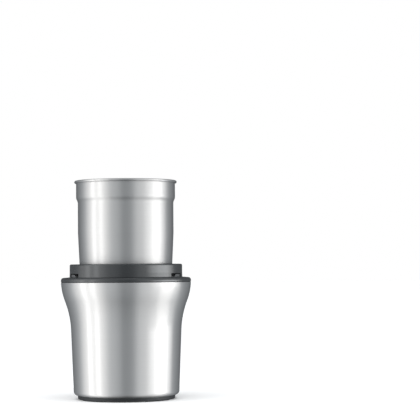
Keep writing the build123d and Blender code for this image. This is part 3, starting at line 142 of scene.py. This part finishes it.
# ---------------------------------------------------------------- materials
class Finish(NodeTree):
    """A Principled material, with the textures that feed it."""

    def __init__(self, name, metallic=0.0):
        self.material = bpy.data.materials.new(name)
        super().__init__(self.material)
        self.shader = self.nodes["Principled BSDF"]
        self.set("Metallic", metallic)
        self.place = self.add("ShaderNodeTexCoord").outputs["Object"]

    def set(self, socket, value):
        self.shader.inputs[socket].default_value = value

    def stretched(self, scale):
        """The piece's own coordinates, multiplied along each axis."""
        node = self.add("ShaderNodeVectorMath", operation="MULTIPLY")
        self.feed(self.place, node.inputs[0])
        node.inputs[1].default_value = scale
        return node.outputs[0]

    def scaled(self, scale):
        """The piece's own coordinates, multiplied evenly."""
        return self.stretched((scale, scale, scale))

    def turned(self, around, across):
        """Coordinates for marks that run round the Z axis, on walls and on flat faces."""
        parts = self.add("ShaderNodeSeparateXYZ")
        self.feed(self.place, parts.inputs[0])
        x, y, z = parts.outputs
        along_profile = self.maths("ADD", self.from_axis(x, y), z)
        joined = self.add("ShaderNodeCombineXYZ")
        self.feed(self.maths("MULTIPLY", x, around), joined.inputs[0])
        self.feed(self.maths("MULTIPLY", y, around), joined.inputs[1])
        self.feed(self.maths("MULTIPLY", along_profile, across), joined.inputs[2])
        return joined.outputs[0]

    def noise(self, vector, detail=2.0, roughness=0.5):
        """Noise over coordinates that are already scaled."""
        node = self.add("ShaderNodeTexNoise")
        self.feed(vector, node.inputs["Vector"])
        node.inputs["Scale"].default_value = 1.0
        node.inputs["Detail"].default_value = detail
        node.inputs["Roughness"].default_value = roughness
        return node.outputs["Fac"]

    def bands(self, direction, pitch, distortion=0.0):
        """Bands across a direction, their pitch in metres."""
        node = self.add("ShaderNodeTexWave", wave_type="BANDS", bands_direction=direction)
        self.feed(self.place, node.inputs["Vector"])
        node.inputs["Scale"].default_value = BAND_SPACING / pitch
        node.inputs["Distortion"].default_value = distortion
        return node.outputs["Fac"]

    def shade(self, value, colour, depth):
        """Base colour, darker and lighter by the depth with the texture's value."""
        node = self.add("ShaderNodeVectorMath", operation="SCALE")
        node.inputs[0].default_value = colour
        self.feed(self.spread(value, TEXTURE_SPAN, (1 - depth, 1 + depth)), node.inputs["Scale"])
        self.feed(node.outputs[0], self.shader.inputs["Base Color"])

    def gloss(self, value, roughness, depth):
        """Roughness, lower and higher by the depth with the texture's value."""
        limits = (roughness - depth, roughness + depth)
        self.feed(self.spread(value, TEXTURE_SPAN, limits), self.shader.inputs["Roughness"])

    def bump(self, value, height):
        """Relief of a height in metres."""
        node = self.add("ShaderNodeBump")
        node.inputs["Distance"].default_value = height
        self.feed(value, node.inputs["Height"])
        self.feed(node.outputs[0], self.shader.inputs["Normal"])

    def brush_round(self, share):
        """Highlights drawn out across marks that run round the Z axis."""
        tangent = self.add("ShaderNodeTangent", direction_type="RADIAL", axis="Z")
        self.feed(tangent.outputs[0], self.shader.inputs["Tangent"])
        self.set("Anisotropic", share)
        self.set("Anisotropic Rotation", ACROSS_THE_MARKS)


def brushed_steel(name, colour, roughness, share, lacquer=0.0):
    """Steel with fine marks that run round the piece, under a share of clear lacquer."""
    steel = Finish(name, metallic=1.0)
    fine = steel.noise(steel.turned(around=30, across=9000), detail=3.0, roughness=0.6)
    broad = steel.noise(steel.turned(around=25, across=3000))
    steel.shade(broad, colour, depth=0.015)
    steel.gloss(fine, roughness, depth=0.03)
    steel.bump(fine, height=1.5 * MICRON)
    steel.brush_round(share)
    steel.set("Coat Weight", lacquer)
    steel.set("Coat Roughness", LACQUER_ROUGHNESS)
    steel.set("Coat IOR", LACQUER_IOR)
    return steel.material


def ground_steel(name, colour, roughness):
    """Steel with fine straight marks along X."""
    steel = Finish(name, metallic=1.0)
    fine = steel.noise(steel.stretched((60, 5000, 5000)), detail=3.0, roughness=0.6)
    steel.shade(fine, colour, depth=0.06)
    steel.gloss(fine, roughness, depth=0.06)
    steel.bump(fine, height=6 * MICRON)
    return steel.material


def plated(name, colour, roughness):
    """Plated or cast metal with a faint cloudiness."""
    metal = Finish(name, metallic=1.0)
    cloud = metal.noise(metal.scaled(900), detail=4.0)
    metal.shade(cloud, colour, depth=0.08)
    metal.gloss(cloud, roughness, depth=0.08)
    metal.bump(cloud, height=8 * MICRON)
    return metal.material


def moulded(name, colour, roughness, grain=2600, depth=12, ior=1.5):
    """Moulded plastic with a fine spark-eroded grain, its depth in microns."""
    plastic = Finish(name)
    fine = plastic.noise(plastic.scaled(grain), detail=3.0, roughness=0.6)
    cloud = plastic.noise(plastic.scaled(70))
    plastic.shade(cloud, colour, depth=0.10)
    plastic.gloss(fine, roughness, depth=0.05)
    plastic.bump(fine, height=depth * MICRON)
    plastic.set("IOR", ior)
    plastic.set("Specular Tint", SHEEN)
    return plastic.material


def rubber(name, colour):
    """Matte rubber with a dusty, uneven surface."""
    soft = Finish(name)
    dust = soft.noise(soft.scaled(1500), detail=4.0, roughness=0.65)
    soft.shade(dust, colour, depth=0.18)
    soft.gloss(dust, roughness=0.78, depth=0.08)
    soft.bump(dust, height=20 * MICRON)
    return soft.material


def stacked_sheet(name, colour):
    """Edges of stacked sheet steel: thin level lines."""
    stack = Finish(name, metallic=0.9)
    lines = stack.bands("Z", pitch=0.0005)
    stack.shade(lines, colour, depth=0.25)
    stack.gloss(lines, roughness=0.42, depth=0.06)
    stack.bump(lines, height=60 * MICRON)
    return stack.material


def wound_wire(name, colour):
    """Turns of enamelled wire lying side by side, with painted shade in the grooves between turns
    and a painted highlight on their crests.
    """
    wire = Finish(name, metallic=1.0)
    turn_relief_and_shade = wire.bands("DIAGONAL", pitch=0.0005, distortion=0.6)
    # painted shade and highlight: the copper is darker in the grooves between turns and lighter
    # on their crests
    wire.shade(turn_relief_and_shade, colour, depth=0.35)
    wire.bump(turn_relief_and_shade, height=100 * MICRON)
    wire.set("Coat Weight", 0.5)
    return wire.material


def make_finishes():
    """Each finish by the name of its material slot in the record."""
    return {
        "body_steel": brushed_steel("brushed_body", STEEL, 0.34, share=0.95, lacquer=1.0),
        "cup_steel": brushed_steel("brushed_cup", CUP_STEEL, 0.37, share=0.93),
        "blade_steel": ground_steel("ground_blade", BLADE_STEEL, 0.25),
        "bright_steel": plated("bright_steel", BLADE_STEEL, 0.22),
        "zinc_steel": plated("zinc_plate", ZINC, 0.36),
        "bronze": plated("sintered_bronze", BRONZE, 0.45),
        "brass": plated("brass", BRASS, 0.3),
        "copper": wound_wire("enamelled_wire", COPPER),
        "lamination": stacked_sheet("stacked_sheet", LAMINATION),
        "carbon": moulded("carbon", CARBON, 0.6),
        "gloss_black": moulded("satin_black", GLOSS_BLACK, 0.20, grain=1500, depth=1.5, ior=1.9),
        "black_plastic": moulded("matte_black", MATTE_BLACK, 0.46),
        "bowl_black": moulded("bowl_black", BOWL_BLACK, 0.32, grain=1800, depth=3, ior=1.62),
        "grey_plastic": moulded("grey_plastic", GREY_PLASTIC, 0.42),
        "white_plastic": moulded("natural_nylon", NYLON, 0.42),
        "red_plastic": moulded("red_plastic", RED_PLASTIC, 0.4),
        "lead_blue": moulded("blue_insulation", BLUE_LEAD, 0.35),
        "rubber_grey": rubber("grey_rubber", GREY_RUBBER),
        "rubber_black": rubber("black_rubber", BLACK_RUBBER),
    }


def dress_nodes(finishes):
    """Give every CAD piece the finish of its slot."""
    for part in frame["record"]["subparts"]:
        materials = frame["nodes"][part["node"]].data.materials
        materials.clear()
        materials.append(finishes[part["material_slot"]])


# ---------------------------------------------------------------- surroundings
def card_light(studio, x, y, flat, card):
    """Radiance of one softbox in a direction, full inside its inner half width."""
    direction, inner, outer, radiance = card
    angle = math.radians(direction)
    to_right = studio.maths("MULTIPLY", x, math.sin(angle))
    to_front = studio.maths("MULTIPLY", y, -math.cos(angle))
    cosine = studio.maths("DIVIDE", studio.maths("ADD", to_right, to_front), flat)
    ends = (math.cos(math.radians(outer)), math.cos(math.radians(inner)))
    return studio.spread(cosine, ends, (0.0, radiance), "SMOOTHSTEP")


def low_window(studio, z):
    """1 where a low softbox is full, and 0 above and below it."""
    low, high = ([math.sin(math.radians(side)) for side in sides] for sides in LOW_EDGES)
    over_floor = studio.spread(z, low, (0.0, 1.0), "SMOOTHSTEP")
    sunk = studio.maths("MULTIPLY", z, -1)
    under_top = studio.spread(sunk, (-high[0], -high[1]), (0.0, 1.0), "SMOOTHSTEP")
    return studio.maths("MULTIPLY", over_floor, under_top)


def studio_light(studio, x, y, z):
    """Radiance of the studio in a direction."""
    flat = studio.maths("MAXIMUM", studio.from_axis(x, y), SMALLEST_DIVISOR)
    level = AMBIENT
    for card in BOXES:
        level = studio.maths("ADD", level, card_light(studio, x, y, flat, card))
    for card in FLAGS:
        level = studio.maths("SUBTRACT", level, card_light(studio, x, y, flat, card))
    window = low_window(studio, z)
    for card in LOW_BOXES:
        low_light = studio.maths("MULTIPLY", card_light(studio, x, y, flat, card), window)
        level = studio.maths("ADD", level, low_light)
    dome = studio.add("ShaderNodeMix")
    studio.feed(studio.spread(z, OVERHEAD_EDGES, (0.0, 1.0), "SMOOTHSTEP"), dome.inputs["Factor"])
    studio.feed(level, dome.inputs["A"])
    dome.inputs["B"].default_value = OVERHEAD
    return dome.outputs[0]


def studio_world():
    """Softboxes and dark cards in pale surroundings, plain white where the camera sees them."""
    world = bpy.data.worlds.new("studio")
    bpy.context.scene.world = world
    studio = NodeTree(world)
    studio.nodes.clear()
    parts = studio.add("ShaderNodeSeparateXYZ")
    studio.feed(studio.add("ShaderNodeTexCoord").outputs["Generated"], parts.inputs[0])
    x, y, z = parts.outputs
    light = studio_light(studio, x, y, z)
    below = studio.spread(z, UNDERSIDE_EDGES, (UNDERSIDE, 1.0), "SMOOTHSTEP")

    tint = studio.add("ShaderNodeMix", data_type="RGBA")
    studio.feed(studio.maths("MULTIPLY", light, WHITENING, clamp=True), tint.inputs["Factor"])
    unlit, lit = [socket for socket in tint.inputs if socket.type == "RGBA"]
    unlit.default_value = COOL
    lit.default_value = WHITE
    tinted = next(socket for socket in tint.outputs if socket.type == "RGBA")

    around = studio.add("ShaderNodeBackground")
    studio.feed(tinted, around.inputs["Color"])
    studio.feed(studio.maths("MULTIPLY", light, below), around.inputs["Strength"])
    seen = studio.add("ShaderNodeBackground")
    seen.inputs["Color"].default_value = WHITE
    choice = studio.add("ShaderNodeMixShader")
    studio.feed(studio.add("ShaderNodeLightPath").outputs["Is Camera Ray"], choice.inputs[0])
    studio.feed(around.outputs[0], choice.inputs[1])
    studio.feed(seen.outputs[0], choice.inputs[2])
    studio.feed(choice.outputs[0], studio.add("ShaderNodeOutputWorld").inputs["Surface"])


def floor_finish():
    """Pale matte material that looks white to the camera away from the object's shadow."""
    pale = Finish("floor")
    pale.set("Base Color", PALE_FLOOR)
    pale.set("Roughness", FLOOR_ROUGHNESS)
    pale.set("Specular IOR Level", 0.0)
    pale.set("Emission Color", WHITE)
    away = pale.add("ShaderNodeVectorMath", operation="LENGTH")
    pale.feed(pale.place, away.inputs[0])
    glow = pale.spread(away.outputs["Value"], FLOOR_GLOW_PLACES, FLOOR_GLOW, "SMOOTHSTEP")
    from_camera = pale.add("ShaderNodeLightPath").outputs["Is Camera Ray"]
    pale.feed(pale.maths("MULTIPLY", from_camera, glow), pale.shader.inputs["Emission Strength"])
    return pale.material


def make_floor():
    """Floor that keeps the object's shadow and meets the white surroundings unseen."""
    bpy.ops.mesh.primitive_circle_add(vertices=96, radius=FLOOR_RADIUS, fill_type="NGON")
    floor = bpy.context.object
    floor.name = "floor"
    floor.data.materials.append(floor_finish())
    floor.visible_glossy = False


def make_lamp():
    """One large soft lamp overhead."""
    light = bpy.data.lights.new("overhead", "AREA")
    light.shape = "DISK"
    light.size = LAMP_SIZE
    light.energy = LAMP_POWER
    lamp = bpy.data.objects.new("overhead", light)
    bpy.context.scene.collection.objects.link(lamp)
    lamp.location = LAMP_PLACE
    aim = Vector(LAMP_TARGET) - Vector(LAMP_PLACE)
    lamp.rotation_euler = aim.to_track_quat("-Z", "Y").to_euler()
    lamp.visible_glossy = False


def place_camera():
    """Camera that sees the base where the photograph has it."""
    data = bpy.data.cameras.new("camera")
    data.sensor_width = SENSOR_WIDTH
    data.lens = SENSOR_WIDTH * FOCAL_LENGTH / PHOTO_WIDTH
    camera = bpy.data.objects.new("camera", data)
    bpy.context.scene.collection.objects.link(camera)
    turn_relief_and_shade = (("Z", -CAMERA_YAW), ("X", 90 + CAMERA_PITCH), ("Z", CAMERA_ROLL))
    matrix = Matrix.Translation(CAMERA_PLACE)
    for axis, angle in turn_relief_and_shade:
        matrix = matrix @ Matrix.Rotation(math.radians(angle), 4, axis)
    camera.matrix_world = matrix
    bpy.context.scene.camera = camera


place_camera()
dress_nodes(make_finishes())
studio_world()
make_floor()
make_lamp()
bpy.context.scene.view_settings.view_transform = "Standard"
